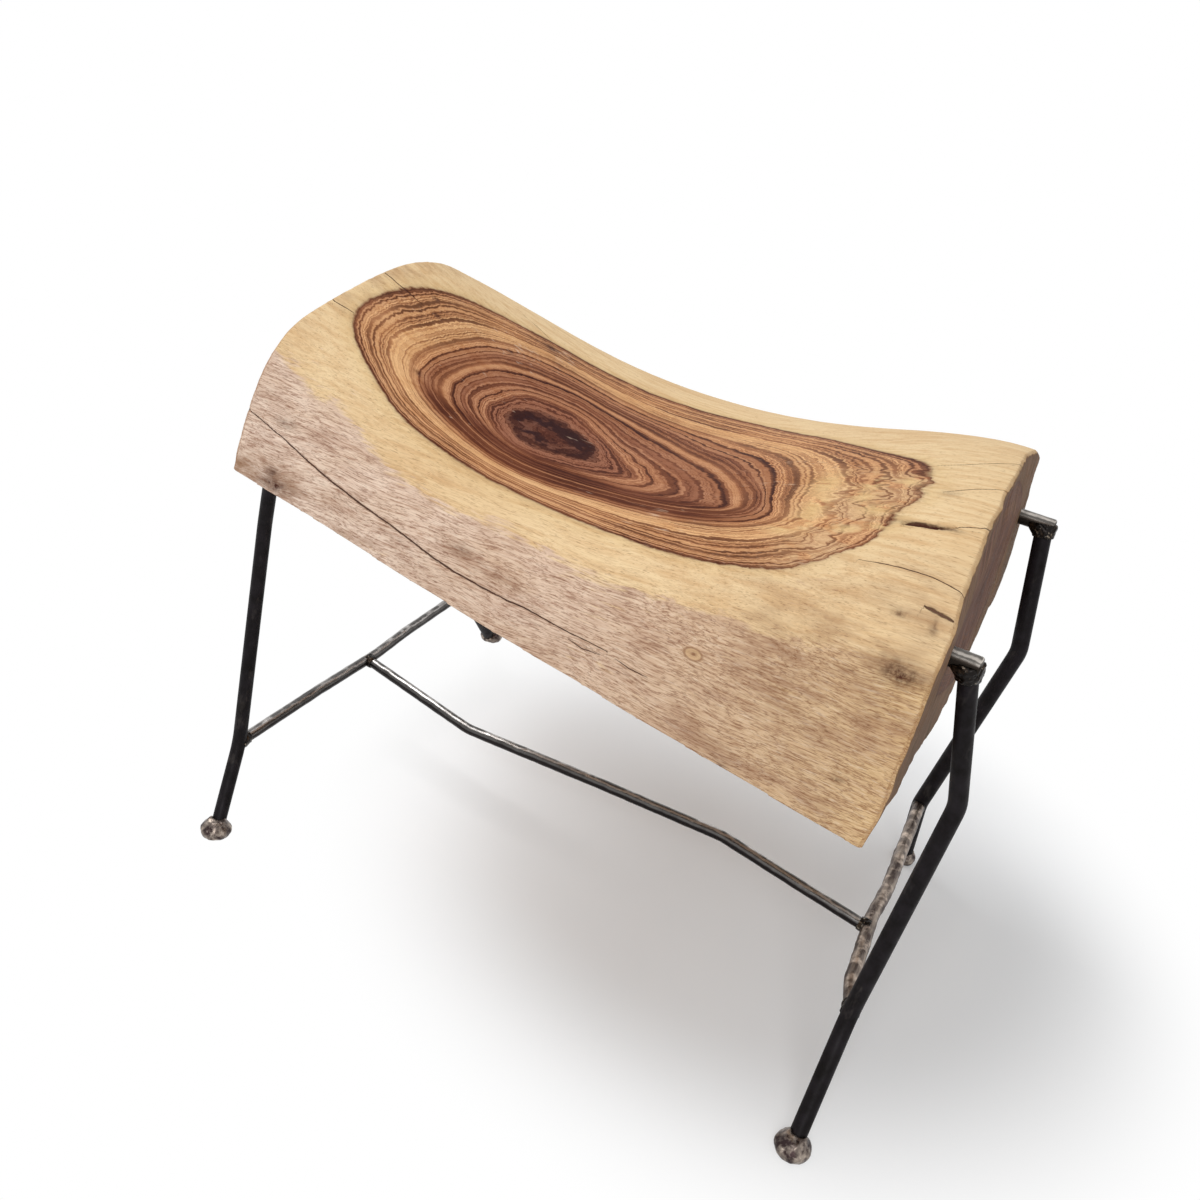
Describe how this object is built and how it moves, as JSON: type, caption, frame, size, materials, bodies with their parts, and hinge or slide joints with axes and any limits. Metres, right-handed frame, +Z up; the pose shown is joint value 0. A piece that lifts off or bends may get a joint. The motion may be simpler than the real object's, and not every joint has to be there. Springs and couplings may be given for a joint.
{
  "type": "stool",
  "caption": "Low saddle stool: a dished length of live-edge log carried at its sawn ends by bent forged-iron legs with pins, crossbars and a long stretcher.",
  "frame": {"origin": "on the floor, at the middle of the stool's bounding box seen from above", "axes": "+X along the log's grain and the seat's long side, towards its lower sawn end; -Y towards the front, where the debarked flank is; +Z up from the floor"},
  "size_m": [0.6202, 0.549, 0.4954],
  "materials": {
    "seat_wood": "sanded satin oil finish, debarked natural flank",
    "forged_iron": "forge-blackened, satin",
    "tie_steel": "burnished, dark in the grooves",
    "pin_steel": "burnished on top, blackened below",
    "pad_steel": "hammered, pitted",
    "weld_metal": "lumpy weld metal, partly ground"
  },
  "bodies": {
    "root": {"crossbar_left": "tie_steel", "crossbar_right": "tie_steel", "foot_pad_back_left": "pad_steel", "foot_pad_back_right": "pad_steel", "foot_pad_front_left": "pad_steel", "foot_pad_front_right": "pad_steel", "leg_back_left": "forged_iron", "leg_back_right": "forged_iron", "leg_front_left": "forged_iron", "leg_front_right": "forged_iron", "long_stretcher": "tie_steel", "pin_back_left": "pin_steel", "pin_back_right": "pin_steel", "pin_front_left": "pin_steel", "pin_front_right": "pin_steel", "seat": "seat_wood", "weld_knee_back_left": "weld_metal", "weld_knee_back_right": "weld_metal", "weld_knee_front_left": "weld_metal", "weld_knee_front_right": "weld_metal", "weld_pin_back_left": "weld_metal", "weld_pin_back_right": "weld_metal", "weld_pin_front_left": "weld_metal", "weld_pin_front_right": "weld_metal", "weld_tee_left": "weld_metal", "weld_tee_right": "weld_metal"}
  },
  "joints": []
}
